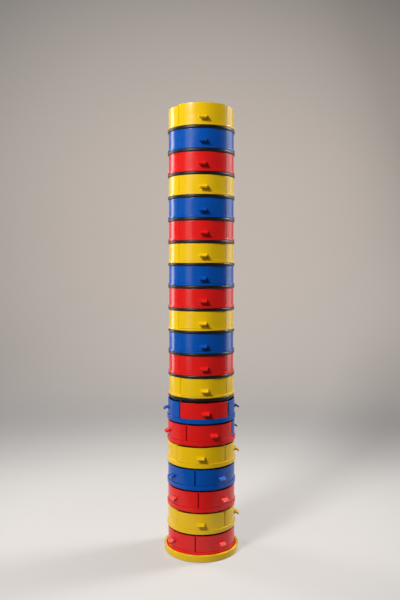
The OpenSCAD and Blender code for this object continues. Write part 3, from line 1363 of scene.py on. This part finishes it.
@dataclass(frozen=True)
class PalePaper:
    """The studio's paper, with a pool of light round the tower.

    It is pale where it is seen and dim to bounced light. Its pool of light on the floor and its halo on the
    wall are painted light: emission that only camera, glossy and transmission rays see. From behind and from
    below it is clear, so that it never hides the tower.

    Attributes:
        pool_middle: Middle of the painted pool of light on the floor.
        pool_reach: Where the pool begins and ends to fade, in metres from its middle.
        painted_pool_glow: Brightness that the pool adds in its middle and beyond its edge, where 1 is white.
        painted_pool_tint: Colour of the pool.
        halo_middle: Middle of the painted glow on the wall, its brightest point.
        halo_size: Half the halo's width, depth and height.
        painted_halo_glow: Brightness that the halo adds in its middle.
        painted_halo_tint: Colour of the halo.
        bend: Height over which the floor's look turns into the wall's.
        paper_tint: Colour of the paper itself.
        seen_grey: How much light the paper throws back to the camera.
        dim_grey: How much it throws back onto the tower.
        roughness: Its roughness.
        specular: How much it shines.
    """

    pool_middle: Point3 = (-0.06, 0.12, 0.0)
    pool_reach: Point2 = (0.39, 1.45)
    painted_pool_glow: Point2 = (0.335, 0.0)
    painted_pool_tint: Colour = (1.0, 0.94, 0.88)
    halo_middle: Point3 = (0.045, 1.60, 0.95)
    halo_size: Point3 = (1.80, 1.0, 1.45)
    painted_halo_glow: float = 0.297
    painted_halo_tint: Colour = (1.0, 0.83, 0.70)
    bend: float = 0.15
    paper_tint: Colour = (1.0, 0.965, 0.94)
    seen_grey: float = 0.35
    dim_grey: float = 0.22
    roughness: float = 0.9
    specular: float = 0.1

    def build(self) -> bpy.types.Material:
        """Makes the paper's material.

        Returns:
            The new material.
        """
        paper = bpy.data.materials.new("pale_paper")
        graph = Graph(paper)
        graph.set_value("Roughness", self.roughness)
        graph.set_value("Specular IOR Level", self.specular)

        rays = graph.nodes.new("ShaderNodeLightPath").outputs
        seen = graph.combine("ADD", rays["Is Camera Ray"], rays["Is Glossy Ray"])
        seen = graph.combine("ADD", seen, rays["Is Transmission Ray"])

        # The pool of light on the floor and the halo on the wall are painted light, given as emission.
        away = graph.distance(self.pool_middle, (1.0, 1.0, 1.0))
        pool = graph.fade(away, self.pool_reach, self.painted_pool_glow, "SMOOTHSTEP")
        away = graph.distance(self.halo_middle, self.halo_size)
        halo = graph.fade(graph.combine("MULTIPLY", away, away), (0.0, 1.0), (self.painted_halo_glow, 0.0))

        axes = graph.nodes.new("ShaderNodeSeparateXYZ")
        graph.links.new(graph.place, axes.inputs["Vector"])
        rise = graph.fade(axes.outputs["Z"], (0.0, self.bend), (0.0, 1.0), "SMOOTHSTEP")
        glow = graph.nodes.new("ShaderNodeMix")
        graph.links.new(rise, glow.inputs["Factor"])
        graph.links.new(pool, glow.inputs["A"])
        graph.links.new(halo, glow.inputs["B"])
        graph.feed("Emission Strength", graph.combine("MULTIPLY", glow.outputs["Result"], seen))
        graph.feed("Emission Color", graph.blend(rise, self.painted_pool_tint, self.painted_halo_tint))
        dim = (self.dim_grey,) * 3
        pale = tuple(self.seen_grey * c for c in self.paper_tint)
        graph.feed("Base Color", graph.blend(seen, dim, pale))

        side = graph.nodes.new("ShaderNodeMixShader")
        clear = graph.nodes.new("ShaderNodeBsdfTransparent")
        graph.links.new(graph.nodes.new("ShaderNodeNewGeometry").outputs["Backfacing"], side.inputs["Fac"])
        graph.links.new(graph.shader.outputs["BSDF"], side.inputs[1])
        graph.links.new(clear.outputs["BSDF"], side.inputs[2])
        graph.links.new(side.outputs["Shader"], graph.nodes["Material Output"].inputs["Surface"])
        return paper


@dataclass
class Studio:
    """The pale sweep, the softboxes and the camera.

    Attributes:
        paper: The sweep's paper.
        sweep_start: Where the floor begins to curve up, along Y.
        sweep_radius: Radius of the curve.
        sweep_steps: Facets along the curve.
        half_width: Half the sweep's width.
        front: Where the floor ends towards the camera, along Y.
        top: Height of the backdrop's top.
        camera_away: Distance of the camera from the tower's axis.
        camera_height: Its height.
        camera_side: How far it stands to the right.
        camera_tilt: How far it looks down, in degrees.
        camera_sees: The least and the greatest distance that it sees.
        lens_mm: Focal length.
        sensor_mm: Width of the sensor.
        air_strength: Strength of the light that fills the room.
        air_tint: Colour of that light.
        aim: The point that the lamps face.
        lamps: The softboxes.
    """

    paper: PalePaper = PalePaper()
    sweep_start: float = 0.70
    sweep_radius: float = 0.90
    sweep_steps: int = 32
    half_width: float = 5.0
    front: float = -0.34
    top: float = 5.0
    camera_away: float = 1.6147
    camera_height: float = 0.7077
    camera_side: float = -0.0032
    camera_tilt: float = 2.99
    camera_sees: Point2 = (0.05, 50.0)
    lens_mm: float = 39.18
    sensor_mm: float = 36.0
    air_strength: float = 0.06
    air_tint: Colour = (1.0, 0.98, 0.96)
    aim: Point3 = (0.0, 0.0, 0.55)
    lamps: tuple[Softbox, ...] = (
        Softbox("key_box", bearing=-37.0, away=2.3, height=2.12, width=0.6, tall=0.6, power=66.0),
        Softbox("front_left_strip", bearing=-44.0, away=1.5, height=1.1, width=0.6, tall=1.9, power=5.4),
        Softbox(
            "rear_left_strip",
            bearing=-120.0,
            away=1.6,
            height=1.1,
            width=0.5,
            tall=2.1,
            power=8.0,
            spread=120.0,
        ),
        Softbox("rear_right_strip", bearing=114.0, away=1.6, height=1.1, width=1.1, tall=2.1, power=15.0),
        Softbox(
            "rear_right_box",
            bearing=112.0,
            away=2.4,
            height=2.15,
            width=0.7,
            tall=0.7,
            power=9.0,
            spread=70.0,
        ),
    )

    def sweep(self) -> None:
        """Lays the floor that curves up into a backdrop."""
        shape = bmesh.new()
        end = self.sweep_start
        corner = [shape.verts.new((-self.half_width, y, 0.0)) for y in (self.front, end)]
        shape.edges.new(corner)
        bend = bmesh.ops.spin(
            shape,
            geom=[corner[1]],
            cent=(0, end, self.sweep_radius),
            axis=(1, 0, 0),
            angle=QUARTER,
            steps=self.sweep_steps,
        )
        last = next(v for v in bend["geom_last"] if isinstance(v, bmesh.types.BMVert))
        up = shape.verts.new((-self.half_width, last.co.y, self.top))
        shape.edges.new((last, up))
        across = bmesh.ops.extrude_edge_only(shape, edges=shape.edges)
        moved = [v for v in across["geom"] if isinstance(v, bmesh.types.BMVert)]
        bmesh.ops.translate(shape, vec=(2 * self.half_width, 0, 0), verts=moved)
        bmesh.ops.recalc_face_normals(shape, faces=shape.faces)
        shape.faces.ensure_lookup_table()
        if shape.faces[0].normal.z < 0:
            bmesh.ops.reverse_faces(shape, faces=shape.faces)
        data = bpy.data.meshes.new("studio_sweep")
        shape.to_mesh(data)
        shape.free()
        data.shade_smooth()
        data.materials.append(self.paper.build())
        sweep = bpy.data.objects.new("studio_sweep", data)
        bpy.context.scene.collection.objects.link(sweep)

    def camera(self) -> None:
        """Sets up the camera at the photograph's place and angle."""
        lens = bpy.data.cameras.new("camera")
        lens.lens = self.lens_mm
        lens.sensor_width = self.sensor_mm
        lens.clip_start, lens.clip_end = self.camera_sees
        camera = bpy.data.objects.new("camera", lens)
        camera.location = (self.camera_side, -self.camera_away, self.camera_height)
        camera.rotation_euler = (math.radians(90.0 - self.camera_tilt), 0.0, 0.0)
        bpy.context.scene.collection.objects.link(camera)
        bpy.context.scene.camera = camera

    def air(self) -> None:
        """Fills the room with a plain light."""
        world = bpy.data.worlds.new("room")
        bpy.context.scene.world = world
        world.use_nodes = True
        glow = world.node_tree.nodes["Background"]
        glow.inputs["Color"].default_value = (*self.air_tint, 1.0)
        glow.inputs["Strength"].default_value = self.air_strength

    def build(self) -> None:
        """Sets up the sweep, the lamps, the air and the camera."""
        self.sweep()
        self.air()
        for lamp in self.lamps:
            lamp.build(Vector(self.aim))
        self.camera()
        bpy.context.scene.view_settings.view_transform = "Standard"


def main() -> None:
    """Builds the tower from the base up, and the studio round it."""
    logging.basicConfig(level=logging.INFO, format="%(name)s %(message)s")
    known = Frame(frame)
    paints = Paints()
    Base(known, paints).build()
    for tier in reversed(QUARTER_TIERS):
        QuarterTier(known, paints, tier).build()
    for tier in reversed(ROUND_TIERS):
        RoundTier(known, paints, tier).build()
    TopLid(known, paints).build()
    Studio().build()


if __name__ == "__main__":
    main()
